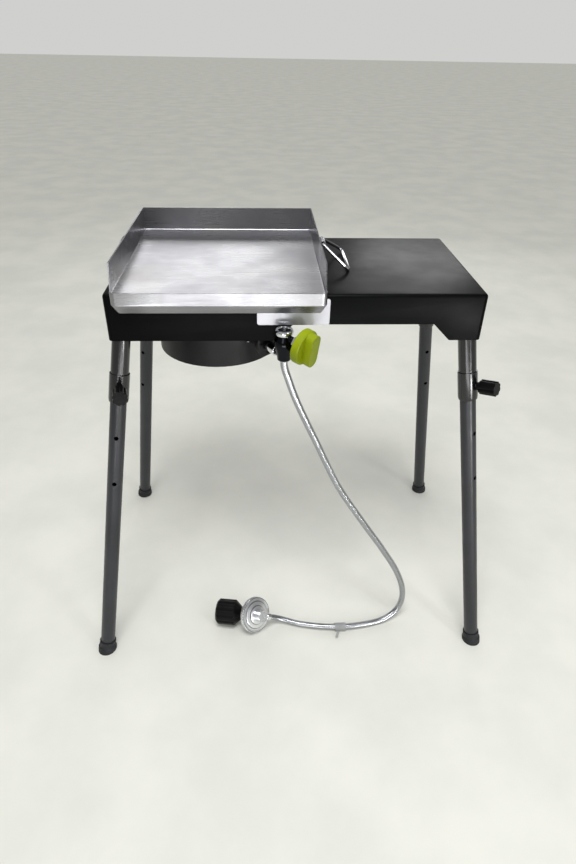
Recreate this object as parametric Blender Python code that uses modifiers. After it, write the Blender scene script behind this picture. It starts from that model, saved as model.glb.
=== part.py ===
"""Propane burner stand: pressed-steel table on four clamped telescopic legs, with a
wind-guarded burner, a lift-off griddle, a gas valve and a hose with its regulator.

Run with blender --background --python part.py. Metres, +Z up. The origin is on the floor
under the middle of the table, +X runs to the side table and -Y is the front.
"""
from math import atan2, cos, pi, radians, sin, sqrt

import bmesh
import bpy
from mathutils import Matrix, Vector

# ---------------------------------------------------------------- driving dimensions
GAP = 0.0003                  # clearance between pieces that touch

TABLE_WIDTH = 0.635
TABLE_DEPTH = 0.325
TABLE_HEIGHT = 0.766
SHEET = 0.0015                # steel of the table
CORNER_RADIUS = 0.008         # skirt corners, in plan
EDGE_RADIUS = 0.005           # bend from the top into the skirts
DEEP_SKIRT = 0.0813           # skirt at the burner end and at the right corners
SHALLOW_SKIRT = 0.0518        # skirt below the side table
BURNER_END = 0.2805           # length of the deep skirt at the burner end
GUSSET = 0.0555               # length of the deep skirt at the right corners
NOTCH_SLANT = 0.030           # run of the slanted ends of the notch
SIDE_NOTCH = 0.190            # width of the notch in the right-hand skirt

BURNER_INSET = 0.175          # centre of the burner from the table's left end, on the X axis
GUARD_RADIUS = 0.115
GUARD_WALL = 0.0012
GUARD_DEPTH = 0.156           # bottom of the guard below the table's top
GUARD_HOLE_SLACK = 0.003      # round the mixer tube
GUARD_FLANGE = 0.016
BURNER_HOLE_RADIUS = 0.107

GRATE_RADIUS = 0.128
GRATE_RIM = 0.014
GRATE_HEIGHT = 0.0085
GRATE_BAR = 0.007
GRATE_BAR_OFFSET = 0.040      # bars from the middle of the grate

LEG_INSET = 0.0182            # leg axis from the skirt faces, at the deep skirt's edge
LEG_SPREAD_X = 0.084          # how far the feet stand out past the table
LEG_SPREAD_Y = 0.099
UPPER_TUBE = 0.03175
UPPER_WALL = 0.001
LOWER_TUBE = 0.029
LOWER_WALL = 0.0012
TUBE_OVERLAP = 0.028          # lower tube above its first hole
COLLAR_LENGTH = 0.053
COLLAR_DIAMETER = 0.0356
KNOB_AT = 0.0915               # knob axis below the deep skirt's edge, along the leg
HOLE_PITCH = 0.0955
HOLE_COUNT = 3
HOLE_DIAMETER = 0.0084
FOOT_LENGTH = 0.026
FOOT_FLOOR = 0.009
FOOT_WALL = 0.002
FOOT_FLARE = 0.0022
STUD_DIAMETER = 0.008
STUD_LENGTH = 0.026
LEG_KNOB_DIAMETER = 0.027
LEG_KNOB_LENGTH = 0.030
LEG_KNOB_NECK = 0.007
LEG_KNOB_FLUTES = 8

PAN_WIDTH = 0.342
PAN_OVERHANG = 0.035          # how much deeper than the table it is
PAN_WALL = 0.0435
PAN_SHEET = 0.002
PAN_BEND = 0.004
PAN_CUT_BACK = 0.014          # run of the slanted front ends of the side walls
PAN_APRON = 0.020             # upright part of the front apron
PAN_RETURN = 0.015            # drop of its tapered lower part
PAN_TAPER = 0.008             # how far that part runs inward
PAN_END_RETURN = 0.012        # how far the apron runs round the corners
PAN_CORNER = 0.007
PAN_LAP = 0.0002              # the apron's corners stand just proud of the walls
PAN_INSET = 0.0197            # its left wall from the table's left end
PAN_SHIFT_Y = -0.0037         # middle of the pan from the middle of the table

ROD = 0.006                   # bail handles
GRIP_LENGTH = 0.118
BAIL_REACH = 0.0554
BARREL_LENGTH = 0.030
BARREL_DIAMETER = 0.0105
BARREL_GRIP = 0.006           # how far each rod end sits in the barrel
BARREL_OFFSET = 0.009         # barrel axis outside the pan wall
BARREL_DROP = 0.018           # barrel axis below the wall's top edge
BRACKET_SHEET = 0.0018
BRACKET_HEIGHT = 0.022
HANDLE_Y = 0.012              # middle of the handles from the middle of the pan

GAS_ANGLE = radians(33.0)     # mixer tube from the front, turned to the right
GAS_DEPTH = 0.098             # axis of the mixer tube below the table's top
MIXER_DIAMETER = 0.028
MIXER_BORE = 0.018
BELL_DIAMETER = 0.038
BELL_LENGTH = 0.021
MOUTH_REACH = 0.053           # mouth of the mixer, from the valve's axis
MOUTH_PLATE = 0.004
WINDOW_CIRCLE = 0.013
WINDOW_DIAMETER = 0.0075
WINDOWS = 3
SHUTTER_DIAMETER = 0.042
SHUTTER_THICKNESS = 0.0015
HEAD_DIAMETER = 0.104
HEAD_HEIGHT = 0.024
HEAD_RISE = 0.037             # top of the burner's head above that axis
HEAD_CHAMFER = 0.006
NECK_TOP_RADIUS = 0.020       # the casting narrows from its head to its foot
NECK_RADIUS = 0.014
NECK_FOOT_RADIUS = 0.011
STRAP_SHEET = 0.003
STRAP_WIDTH = 0.025
STRAP_SLACK = 0.001           # of the strap's ends inside the guard
BOLT_HOLE = 0.0066
BOLT_DIAMETER = 0.006
BOLT_HEAD = 0.0116
BOLT_HEAD_HEIGHT = 0.004
BOLT_REACH = 0.012            # into the casting's foot
BOLT_HOLE_DEPTH = 0.014
FITTING_DIAMETER = 0.014
FITTING_HEX = 0.019
VALVE_OUT = 0.022             # valve axis in front of the table
VALVE_DIAMETER = 0.034        # at its widest
VALVE_FOOT = 0.023            # round the hose's socket
VALVE_RISE = 0.0415           # top of the body above the mixer's axis
VALVE_HEIGHT = 0.0487
OUTLET_BOSS = 0.014
BOSS_REACH = 0.003            # of the outlet boss, past the body
SOCKET_DEPTH = 0.005
CAP_DIAMETER = 0.0225
CAP_HEIGHT = 0.006
STEM_ANGLE = radians(51.0)
STEM_DIP = radians(9.0)      # the stem points a little down
STEM_RISE = 0.0348            # stem above the mixer's axis
STEM_DIAMETER = 0.008
STEM_BOSS = 0.0125
STEM_BOSS_REACH = 0.021
GLAND = 0.021
GLAND_LENGTH = 0.008
VALVE_KNOB_DIAMETER = 0.060
VALVE_KNOB_DISC = 0.014
VALVE_KNOB_GRIP = 0.014
VALVE_KNOB_BAR = 0.024
VALVE_KNOB_START = 0.034      # back of the knob, from the valve's axis

HOSE_DIAMETER = 0.013
FERRULE_DIAMETER = 0.0165
FERRULE_LENGTH = 0.012
SWIVEL_NUT = 0.0184
SWIVEL_LENGTH = 0.006

TIE_OFFSET = Vector((0.1232, -0.0425, 0.0090))     # from the point below the valve
TIE_WIDTH = 0.024
TIE_THICKNESS = 0.0014
TIE_SLACK = 0.0009            # round the hose, which bends a little inside the tie
TIE_TAIL = 0.020
TIE_LEAN = radians(-24.0)

REGULATOR_OFFSET = Vector((-0.0570, -0.0259, 0.0364))    # from the point below the valve
REGULATOR_DIAMETER = 0.078
REGULATOR_TURN = radians(48.0)    # its face looks to the front right and up
REGULATOR_TILT = radians(29.0)
REGULATOR_BODY = 0.018
REGULATOR_COVER = 0.009
REGULATOR_CAP = 0.027
ELBOW_LENGTH = 0.018
ELBOW_REACH = 0.0145
ELBOW_TURN = radians(-42.0)       # outlet below level, in the plane of the face
NECK_DIAMETER = 0.022
INLET_REACH = 0.020
NIPPLE_DIAMETER = 0.015
HAND_NUT_DIAMETER = 0.056
HAND_NUT_LENGTH = 0.056
HAND_NUT_BACK = 0.005
HAND_NUT_CONE = 0.015
HAND_NUT_CHAMFER = 0.005
HAND_NUT_RECESS = 0.025
HAND_NUT_FLUTES = 12

BADGE_WIDTH = 0.121
BADGE_HEIGHT = 0.046
BADGE_THICKNESS = 0.0012
BADGE_OFFSET = 0.1355          # middle of the badge from the burner's centre
BADGE_CORNER = 0.004

# ---------------------------------------------------------------- values that follow
TOP_UNDERSIDE = TABLE_HEIGHT - SHEET
DEEP_EDGE = TABLE_HEIGHT - DEEP_SKIRT
SHALLOW_EDGE = TABLE_HEIGHT - SHALLOW_SKIRT
GRATE_TOP = TABLE_HEIGHT + GAP + GRATE_HEIGHT
PAN_UNDERSIDE = GRATE_TOP + GAP
PAN_DEPTH = TABLE_DEPTH + PAN_OVERHANG
BURNER_X = BURNER_INSET - TABLE_WIDTH / 2
BURNER = Vector((BURNER_X, 0.0, 0.0))
NOTCH_LEFT = BURNER_END - TABLE_WIDTH / 2
NOTCH_RIGHT = TABLE_WIDTH / 2 - GUSSET
GUARD_BOTTOM = TABLE_HEIGHT - GUARD_DEPTH
GAS_HEIGHT = TABLE_HEIGHT - GAS_DEPTH
HEAD_TOP = GAS_HEIGHT + HEAD_RISE
VALVE_TOP = GAS_HEIGHT + VALVE_RISE
STEM_HEIGHT = GAS_HEIGHT + STEM_RISE
VALVE_DISTANCE = (TABLE_DEPTH / 2 + VALVE_OUT) / cos(GAS_ANGLE)
MOUTH = VALVE_DISTANCE - MOUTH_REACH
BELL_START = MOUTH - BELL_LENGTH
VALVE_AT = BURNER + Vector((sin(GAS_ANGLE), -cos(GAS_ANGLE), 0.0)) * VALVE_DISTANCE
REGULATOR_CENTRE = VALVE_AT + REGULATOR_OFFSET
Z = Vector((0.0, 0.0, 1.0))


# ---------------------------------------------------------------- helpers
for old in list(bpy.data.objects):
    bpy.data.objects.remove(old)

PARTS = bpy.data.collections.new("propane_burner_stand")
CUTTERS = bpy.data.collections.new("cutters")
for collection in (PARTS, CUTTERS):
    bpy.context.scene.collection.children.link(collection)


def finish(name, colour, roughness, metallic):
    """A Principled material of one colour."""
    made = bpy.data.materials.new(name)
    made.use_nodes = True
    shader = made.node_tree.nodes["Principled BSDF"]
    shader.inputs["Base Color"].default_value = (*colour, 1.0)
    shader.inputs["Roughness"].default_value = roughness
    shader.inputs["Metallic"].default_value = metallic
    return made


def add(name, mesh, coat, place=Matrix.Identity(4)):
    """Link a mesh as one of the stand's pieces."""
    piece = bpy.data.objects.new(name, mesh)
    PARTS.objects.link(piece)
    piece.matrix_world = place
    mesh.materials.clear()
    mesh.materials.append(finish(name, *coat))
    return piece


def mesh_from(builder):
    """A mesh from a bmesh, shaded smooth up to 40 degrees."""
    bmesh.ops.recalc_face_normals(builder, faces=builder.faces)
    mesh = bpy.data.meshes.new("mesh")
    builder.to_mesh(mesh)
    builder.free()
    mesh.shade_smooth()
    mesh.set_sharp_from_angle(angle=radians(40))
    return mesh


def along(start, direction, spin=0.0):
    """A place whose Z axis runs from start along a direction."""
    turn = Vector(direction).to_track_quat("Z", "Y").to_matrix().to_4x4()
    return Matrix.Translation(start) @ turn @ Matrix.Rotation(spin, 4, "Z")


def heading(angle):
    """A level direction, turned from the front (-Y) towards +X."""
    return Vector((sin(angle), -cos(angle), 0.0))


def rod_mesh(radius, low, high, steps=24, chamfer=0.0):
    """A solid cylinder from low to high on the Z axis."""
    builder = bmesh.new()
    bmesh.ops.create_cone(builder, cap_ends=True, segments=steps, radius1=radius,
                          radius2=radius, depth=high - low,
                          matrix=Matrix.Translation((0, 0, (low + high) / 2)))
    if chamfer:
        rims = [edge for edge in builder.edges if abs(edge.verts[0].co.z - edge.verts[1].co.z) < 1e-9]
        bmesh.ops.bevel(builder, geom=rims, offset=chamfer, segments=1, profile=0.5,
                        affect="EDGES", material=-1)
    return mesh_from(builder)


def box_mesh(size, centre=(0, 0, 0)):
    """A box of a given size."""
    builder = bmesh.new()
    place = Matrix.Translation(centre) @ Matrix.Diagonal((*size, 1.0))
    bmesh.ops.create_cube(builder, size=1.0, matrix=place)
    return mesh_from(builder)


def turned(name, profile, coat, place, steps=32, closed=True):
    """A turned piece: the profile of (radius, height) runs down its outer side."""
    mesh = bpy.data.meshes.new(name)
    count = len(profile)
    edges = [(i, i + 1) for i in range(count - 1)]
    if closed:
        edges.append((count - 1, 0))
    mesh.from_pydata([(radius, 0.0, height) for radius, height in profile], edges, [])
    piece = add(name, mesh, coat, place)
    screw = piece.modifiers.new("turn", "SCREW")
    screw.steps = steps
    screw.render_steps = steps
    screw.use_merge_vertices = True
    screw.merge_threshold = 0.00001
    screw.use_smooth_shade = True
    return piece


def turned_mesh(profile, steps):
    """The mesh of a turned shape whose profile starts and ends on the axis."""
    holder = turned("holder", profile, BLACK_PLASTIC, Matrix.Identity(4), steps, closed=False)
    evaluated = holder.evaluated_get(bpy.context.evaluated_depsgraph_get())
    mesh = bpy.data.meshes.new_from_object(evaluated)
    bpy.data.objects.remove(holder)
    return mesh


def ring(outer, inner, low, high):
    """The closed profile of a plain ring."""
    return [(outer, high), (outer, low), (inner, low), (inner, high)]


def plate_mesh(outline, thickness):
    """A flat outline in XY, extruded to a thickness that is centred on Z = 0."""
    curve = bpy.data.curves.new("outline", "CURVE")
    curve.dimensions = "2D"
    curve.fill_mode = "BOTH"
    curve.extrude = thickness / 2
    spline = curve.splines.new("POLY")
    spline.points.add(len(outline) - 1)
    for point, (x, y) in zip(spline.points, outline):
        point.co = (x, y, 0.0, 1.0)
    spline.use_cyclic_u = True
    return curve_to_mesh(curve)


def curve_to_mesh(curve):
    """The welded mesh of a curve."""
    holder = bpy.data.objects.new("holder", curve)
    PARTS.objects.link(holder)
    evaluated = holder.evaluated_get(bpy.context.evaluated_depsgraph_get())
    mesh = bpy.data.meshes.new_from_object(evaluated)
    bpy.data.objects.remove(holder)
    builder = bmesh.new()
    builder.from_mesh(mesh)
    bmesh.ops.remove_doubles(builder, verts=builder.verts, dist=0.000002)
    return mesh_from(builder)


def thickened(builder, thickness):
    """The closed mesh of an open surface with a thickness behind its face."""
    surface = bpy.data.meshes.new("surface")
    builder.to_mesh(surface)
    builder.free()
    holder = bpy.data.objects.new("holder", surface)
    PARTS.objects.link(holder)
    sheet = holder.modifiers.new("sheet", "SOLIDIFY")
    sheet.thickness = thickness
    sheet.offset = -1.0
    evaluated = holder.evaluated_get(bpy.context.evaluated_depsgraph_get())
    mesh = bpy.data.meshes.new_from_object(evaluated)
    bpy.data.objects.remove(holder)
    return mesh


def wire_mesh(points, diameter, resolution=2):
    """A round rod along a POLY spline."""
    curve = bpy.data.curves.new("wire", "CURVE")
    curve.dimensions = "3D"
    curve.bevel_depth = diameter / 2
    curve.bevel_resolution = resolution
    curve.use_fill_caps = True
    spline = curve.splines.new("POLY")
    spline.points.add(len(points) - 1)
    for point, place in zip(spline.points, points):
        point.co = (*place, 1.0)
    return curve_to_mesh(curve)


def rounded(width, height, radius, steps=4):
    """The outline of a rectangle with round corners."""
    outline = []
    for quarter, (sx, sy) in enumerate(((1, 1), (-1, 1), (-1, -1), (1, -1))):
        for step in range(steps + 1):
            angle = quarter * pi / 2 + step * pi / 2 / steps
            outline.append((sx * (width / 2 - radius) + radius * cos(angle),
                            sy * (height / 2 - radius) + radius * sin(angle)))
    return outline


def fluted(radius, flutes, depth, steps):
    """A round outline with shallow flutes."""
    count = flutes * steps
    outline = []
    for i in range(count):
        angle = 2 * pi * i / count
        reach = radius - depth * (0.5 + 0.5 * cos(angle * flutes)) ** 2
        outline.append((reach * cos(angle), reach * sin(angle)))
    return outline


def boolean(piece, mesh, place, operation="DIFFERENCE"):
    """Cut a piece with a mesh, or join the mesh to it."""
    cutter = bpy.data.objects.new(piece.name + "_" + operation.lower(), mesh)
    CUTTERS.objects.link(cutter)
    cutter.matrix_world = place
    cutter.hide_render = True
    cutter.display_type = "WIRE"
    modifier = piece.modifiers.new(operation.lower(), "BOOLEAN")
    modifier.operation = operation
    modifier.solver = "EXACT"
    modifier.object = cutter
    return cutter


def hang_on(child, parent):
    """Parent a piece without moving it."""
    bpy.context.view_layer.update()
    child.parent = parent
    child.matrix_parent_inverse = parent.matrix_world.inverted()


def joint_empty(name, place):
    """An empty on a joint's axis."""
    empty = bpy.data.objects.new(name, None)
    PARTS.objects.link(empty)
    empty.matrix_world = place
    return empty


POWDER_COAT = ((0.018, 0.018, 0.020), 0.38, 0.0)
LEG_PAINT = ((0.045, 0.045, 0.050), 0.45, 0.0)
STAINLESS = ((0.62, 0.62, 0.63), 0.28, 1.0)
CHROME = ((0.75, 0.75, 0.76), 0.12, 1.0)
BLACK_PLASTIC = ((0.012, 0.012, 0.013), 0.40, 0.0)
RUBBER = ((0.020, 0.020, 0.020), 0.70, 0.0)
LIME_PLASTIC = ((0.30, 0.34, 0.005), 0.42, 0.0)
CAST_IRON = ((0.030, 0.030, 0.031), 0.60, 0.6)
BRASS = ((0.62, 0.45, 0.18), 0.30, 1.0)
ZINC = ((0.62, 0.62, 0.63), 0.30, 1.0)
BRAID = ((0.55, 0.55, 0.56), 0.35, 1.0)
GREY_PLASTIC = ((0.30, 0.30, 0.31), 0.50, 0.0)
WHITE_BADGE = ((0.70, 0.70, 0.74), 0.30, 0.2)


# ---------------------------------------------------------------- table
def make_table():
    """The top and its four skirts, one pressed and folded sheet with the burner's hole."""
    builder = bmesh.new()
    place = Matrix.Translation((0, 0, TABLE_HEIGHT - DEEP_SKIRT / 2))
    size = Matrix.Diagonal((TABLE_WIDTH, TABLE_DEPTH, DEEP_SKIRT, 1.0))
    bmesh.ops.create_cube(builder, size=1.0, matrix=place @ size)
    below = [face for face in builder.faces if face.normal.z < -0.9]
    bmesh.ops.delete(builder, geom=below, context="FACES")
    upright = [edge for edge in builder.edges
               if abs(edge.verts[0].co.z - edge.verts[1].co.z) > DEEP_SKIRT / 2]
    bmesh.ops.bevel(builder, geom=upright, offset=CORNER_RADIUS, segments=4, profile=0.5,
                    affect="EDGES", material=-1)
    rim = [edge for edge in builder.edges
           if all(vert.co.z > TABLE_HEIGHT - 1e-6 for vert in edge.verts)
           and len(edge.link_faces) == 2
           and any(abs(face.normal.z) < 0.5 for face in edge.link_faces)]
    bmesh.ops.bevel(builder, geom=rim, offset=EDGE_RADIUS, segments=3, profile=0.5,
                    affect="EDGES", material=-1)
    table = add("table_frame", mesh_from(builder), POWDER_COAT)
    sheet = table.modifiers.new("sheet", "SOLIDIFY")
    sheet.thickness = SHEET
    sheet.offset = -1.0
    sheet.use_even_offset = True

    hole = rod_mesh(BURNER_HOLE_RADIUS, -0.01, 0.01, 48)
    boolean(table, hole, Matrix.Translation((BURNER_X, 0, TABLE_HEIGHT)))
    low = DEEP_EDGE - 0.01
    rise = SHALLOW_EDGE - DEEP_EDGE
    slope = NOTCH_SLANT / rise * (DEEP_EDGE - low)
    front = [(NOTCH_LEFT - slope, low), (NOTCH_LEFT + NOTCH_SLANT, SHALLOW_EDGE),
             (NOTCH_RIGHT - NOTCH_SLANT, SHALLOW_EDGE), (NOTCH_RIGHT + slope, low)]
    boolean(table, plate_mesh(front, TABLE_DEPTH + 0.02), Matrix.Rotation(pi / 2, 4, "X"))
    half = SIDE_NOTCH / 2
    side = [(-half - slope - NOTCH_SLANT / 2, low), (-half + NOTCH_SLANT / 2, SHALLOW_EDGE),
            (half - NOTCH_SLANT / 2, SHALLOW_EDGE), (half + slope + NOTCH_SLANT / 2, low)]
    turn = Matrix.Rotation(pi / 2, 4, "Z") @ Matrix.Rotation(pi / 2, 4, "X")
    boolean(table, plate_mesh(side, 0.04), Matrix.Translation((TABLE_WIDTH / 2, 0, 0)) @ turn)


def make_badge():
    """The bare plate on the front skirt, flush with the skirt's lower edge."""
    outline = rounded(BADGE_WIDTH, BADGE_HEIGHT, BADGE_CORNER)
    front = -TABLE_DEPTH / 2 - GAP - BADGE_THICKNESS / 2
    place = Matrix.Translation((BURNER_X + BADGE_OFFSET, front, SHALLOW_EDGE + BADGE_HEIGHT / 2))
    add("badge_plate", plate_mesh(outline, BADGE_THICKNESS), WHITE_BADGE,
        place @ Matrix.Rotation(pi / 2, 4, "X"))


# ---------------------------------------------------------------- burner
def gas_point(distance, height=GAS_HEIGHT):
    """A point on the mixer tube's line, at a distance from the burner's centre."""
    return BURNER + heading(GAS_ANGLE) * distance + Z * height


def make_wind_guard():
    """The round wind guard below the top, with an inward flange and the mixer's hole."""
    top = TOP_UNDERSIDE - GAP
    inner = GUARD_RADIUS - GUARD_WALL
    profile = [(GUARD_RADIUS, top), (GUARD_RADIUS, GUARD_BOTTOM),
               (GUARD_RADIUS - GUARD_FLANGE, GUARD_BOTTOM),
               (GUARD_RADIUS - GUARD_FLANGE, GUARD_BOTTOM + GUARD_WALL),
               (inner, GUARD_BOTTOM + GUARD_WALL), (inner, top)]
    guard = turned("wind_guard", profile, POWDER_COAT, Matrix.Translation(BURNER), steps=48)
    hole = rod_mesh(MIXER_DIAMETER / 2 + GUARD_HOLE_SLACK, 0.8 * GUARD_RADIUS, 1.1 * GUARD_RADIUS, 24)
    boolean(guard, hole, along(BURNER + Z * GAS_HEIGHT, heading(GAS_ANGLE)))


def make_grate():
    """The cooking grate: a flat ring with crossed bars, lying on the table's top."""
    base = TABLE_HEIGHT + GAP
    profile = ring(GRATE_RADIUS, GRATE_RADIUS - GRATE_RIM, base, base + GRATE_HEIGHT)
    grate = turned("cook_grate", profile, CAST_IRON, Matrix.Translation(BURNER), steps=40)
    length = 2 * sqrt((GRATE_RADIUS - GRATE_RIM / 2) ** 2 - GRATE_BAR_OFFSET ** 2)
    for side in (-1, 1):
        for turn in (0.0, pi / 2):
            bar = box_mesh((length, GRATE_BAR, GRATE_HEIGHT),
                           (0, side * GRATE_BAR_OFFSET, base + GRATE_HEIGHT / 2))
            boolean(grate, bar, Matrix.Translation(BURNER) @ Matrix.Rotation(turn, 4, "Z"), "UNION")


def make_burner():
    """The cast burner with its mixer tube, the strap that carries it and its bolt."""
    strap_top = GUARD_BOTTOM + GUARD_WALL + GAP + STRAP_SHEET
    boss_low = strap_top + GAP
    head_low = HEAD_TOP - HEAD_HEIGHT
    half = HEAD_DIAMETER / 2
    profile = [(0.0, HEAD_TOP), (half - HEAD_CHAMFER, HEAD_TOP), (half, HEAD_TOP - HEAD_CHAMFER),
               (half, head_low + HEAD_CHAMFER), (NECK_TOP_RADIUS, head_low), (NECK_RADIUS, GAS_HEIGHT),
               (NECK_FOOT_RADIUS, boss_low), (0.0, boss_low)]
    burner = turned("burner_casting", profile, CAST_IRON, Matrix.Translation(BURNER), steps=32,
                    closed=False)
    axis = along(BURNER + Z * GAS_HEIGHT, heading(GAS_ANGLE))
    radius, bell = MIXER_DIAMETER / 2, BELL_DIAMETER / 2
    mixer = turned_mesh([(0.0, MOUTH), (bell, MOUTH), (bell, MOUTH - 0.008), (radius, BELL_START),
                         (radius, 0.0), (0.0, 0.0)], 24)
    boolean(burner, mixer, axis, "UNION")
    boolean(burner, rod_mesh(MIXER_BORE / 2, 0.030, MOUTH - MOUTH_PLATE, 20), axis)
    boolean(burner, rod_mesh(FITTING_DIAMETER / 2 + GAP, MOUTH - 0.020, MOUTH + 0.01, 20), axis)
    for i in range(WINDOWS):
        turn = Matrix.Rotation(2 * pi * i / WINDOWS, 4, "Z")
        window = Matrix.Translation((WINDOW_CIRCLE, 0, 0))
        boolean(burner, rod_mesh(WINDOW_DIAMETER / 2, MOUTH - 0.010, MOUTH + 0.01, 12),
                axis @ turn @ window)
    boolean(burner, rod_mesh(BOLT_HOLE / 2, boss_low - 0.01, boss_low + BOLT_HOLE_DEPTH, 16),
            Matrix.Translation(BURNER))

    length = 2 * sqrt((GUARD_RADIUS - GUARD_WALL - STRAP_SLACK) ** 2 - (STRAP_WIDTH / 2) ** 2)
    strap = add("burner_strap", box_mesh((length, STRAP_WIDTH, STRAP_SHEET)), POWDER_COAT,
                Matrix.Translation(BURNER + Z * (strap_top - STRAP_SHEET / 2)))
    boolean(strap, rod_mesh(BOLT_HOLE / 2, -0.01, 0.01, 16), Matrix.Translation(BURNER + Z * strap_top))
    under = strap_top - STRAP_SHEET - GAP
    bolt = [(0.0, boss_low + BOLT_REACH), (BOLT_DIAMETER / 2, boss_low + BOLT_REACH),
            (BOLT_DIAMETER / 2, under), (BOLT_HEAD / 2, under), (BOLT_HEAD / 2, under - BOLT_HEAD_HEIGHT),
            (0.0, under - BOLT_HEAD_HEIGHT)]
    turned("burner_bolt", bolt, ZINC, Matrix.Translation(BURNER), steps=12, closed=False)


def make_shutter_and_fitting():
    """The air shutter that turns on the mixer's mouth, and the orifice fitting."""
    axis = along(BURNER + Z * GAS_HEIGHT, heading(GAS_ANGLE))
    seat = MOUTH + GAP
    inner = FITTING_DIAMETER / 2 + GAP
    half = SHUTTER_DIAMETER / 2
    profile = [(inner + 0.002, seat + 0.010), (inner + 0.0022, seat + SHUTTER_THICKNESS),
               (half, seat + SHUTTER_THICKNESS), (half, seat), (inner, seat), (inner, seat + 0.010)]
    shutter = turned("air_shutter", profile, POWDER_COAT, axis, steps=32)
    for i in range(WINDOWS):
        turn = Matrix.Rotation(2 * pi * i / WINDOWS + radians(35), 4, "Z")
        window = Matrix.Translation((WINDOW_CIRCLE, 0, 0))
        boolean(shutter, rod_mesh(WINDOW_DIAMETER / 2, MOUTH - 0.005, MOUTH + 0.008, 12),
                axis @ turn @ window)

    valve_face = VALVE_DISTANCE - VALVE_DIAMETER / 2 - BOSS_REACH - GAP
    hex_start = seat + 0.010 + GAP
    fitting = [(0.003, valve_face), (0.0085, valve_face), (FITTING_HEX / 2, valve_face - 0.001),
               (FITTING_HEX / 2, hex_start), (FITTING_DIAMETER / 2, hex_start),
               (FITTING_DIAMETER / 2, MOUTH - 0.012), (0.0025, MOUTH - 0.018),
               (0.0012, MOUTH - 0.018), (0.003, MOUTH - 0.008)]
    turned("orifice_fitting", fitting, CHROME, axis, steps=18)


# ---------------------------------------------------------------- valve
def make_valve():
    """The gas valve: body, top cap, gland nut, stem and knob, and the hose's swivel nut."""
    foot = gas_point(VALVE_DISTANCE, 0.0)
    half, base = VALVE_DIAMETER / 2, VALVE_FOOT / 2
    low = VALVE_TOP - VALVE_HEIGHT
    cap_radius = CAP_DIAMETER / 2
    body = turned("valve_body",
                  [(0.0, VALVE_TOP), (cap_radius, VALVE_TOP), (cap_radius + 0.0005, VALVE_TOP - 0.003),
                   (half - 0.0015, VALVE_TOP - 0.010), (half, VALVE_TOP - 0.015),
                   (half, VALVE_TOP - 0.022), (half - 0.0015, VALVE_TOP - 0.028),
                   (base + 0.001, low + 0.009), (base, low + 0.001), (base - 0.001, low), (0.0, low)],
                  BLACK_PLASTIC, Matrix.Translation(foot), steps=32, closed=False)
    outlet = along(foot + Z * GAS_HEIGHT, -heading(GAS_ANGLE))
    boolean(body, rod_mesh(OUTLET_BOSS / 2, 0.0, half + BOSS_REACH, 20), outlet, "UNION")
    way = (heading(STEM_ANGLE) * cos(STEM_DIP) - Z * sin(STEM_DIP)).normalized()
    stem = along(foot + Z * STEM_HEIGHT, way)
    stem_bore = half - 0.006
    boolean(body, rod_mesh(STEM_BOSS / 2, 0.0, STEM_BOSS_REACH, 20), stem, "UNION")
    boolean(body, rod_mesh(STEM_DIAMETER / 2 + GAP, stem_bore, STEM_BOSS_REACH + 0.01, 20), stem)
    boolean(body, rod_mesh(SWIVEL_NUT / 2 + GAP, low - 0.01, low + SOCKET_DEPTH, 20),
            Matrix.Translation(foot))

    seat = VALVE_TOP + GAP
    turned("valve_cap",
           [(0.72 * cap_radius, seat + CAP_HEIGHT), (0.9 * cap_radius, seat + CAP_HEIGHT),
            (cap_radius, seat + 0.8 * CAP_HEIGHT), (cap_radius, seat), (0.0, seat),
            (0.0, seat + 0.5 * CAP_HEIGHT), (0.72 * cap_radius, seat + 0.5 * CAP_HEIGHT)],
           CHROME, Matrix.Translation(foot), steps=24)

    start = STEM_BOSS_REACH + GAP
    gland = turned("gland_nut",
                   [(0.0, start + GLAND_LENGTH), (GLAND / 2 - 0.001, start + GLAND_LENGTH),
                    (GLAND / 2, start + GLAND_LENGTH - 0.001), (GLAND / 2, start), (0.0, start)],
                   CHROME, stem, steps=6, closed=False)
    boolean(gland, rod_mesh(STEM_DIAMETER / 2 + GAP, start - 0.01, start + GLAND_LENGTH + 0.01, 16), stem)

    socket = VALVE_KNOB_START + 0.8 * VALVE_KNOB_DISC
    turned("valve_stem", [(0.0, socket - GAP), (STEM_DIAMETER / 2, socket - GAP),
                          (STEM_DIAMETER / 2, stem_bore + GAP), (0.0, stem_bore + GAP)],
           CHROME, stem, steps=16, closed=False)

    radius = VALVE_KNOB_DIAMETER / 2
    back, face = VALVE_KNOB_START, VALVE_KNOB_START + VALVE_KNOB_DISC
    knob = turned("valve_knob",
                  [(0.0, face), (radius - 0.002, face), (radius, face - 0.002),
                   (radius, back + 0.001), (radius - 0.001, back), (0.0, back)],
                  LIME_PLASTIC, stem, steps=32, closed=False)
    grip = plate_mesh(rounded(0.95 * VALVE_KNOB_DIAMETER, VALVE_KNOB_BAR, 0.45 * VALVE_KNOB_BAR),
                      VALVE_KNOB_GRIP + 0.002)
    upright = Matrix.Translation((0, 0, face + VALVE_KNOB_GRIP / 2 - 0.001)) @ Matrix.Rotation(pi / 2, 4, "Z")
    boolean(knob, grip, stem @ upright, "UNION")
    boolean(knob, rod_mesh(STEM_DIAMETER / 2 + GAP, back - 0.01, socket, 16), stem)

    nut_top = low + SOCKET_DEPTH - GAP
    turned("hose_swivel_nut",
           [(0.0, nut_top), (SWIVEL_NUT / 2, nut_top), (SWIVEL_NUT / 2, nut_top - SWIVEL_LENGTH),
            (0.0, nut_top - SWIVEL_LENGTH)],
           ZINC, Matrix.Translation(foot), steps=20, closed=False)
    return foot + Z * (nut_top - SWIVEL_LENGTH - GAP)


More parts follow.
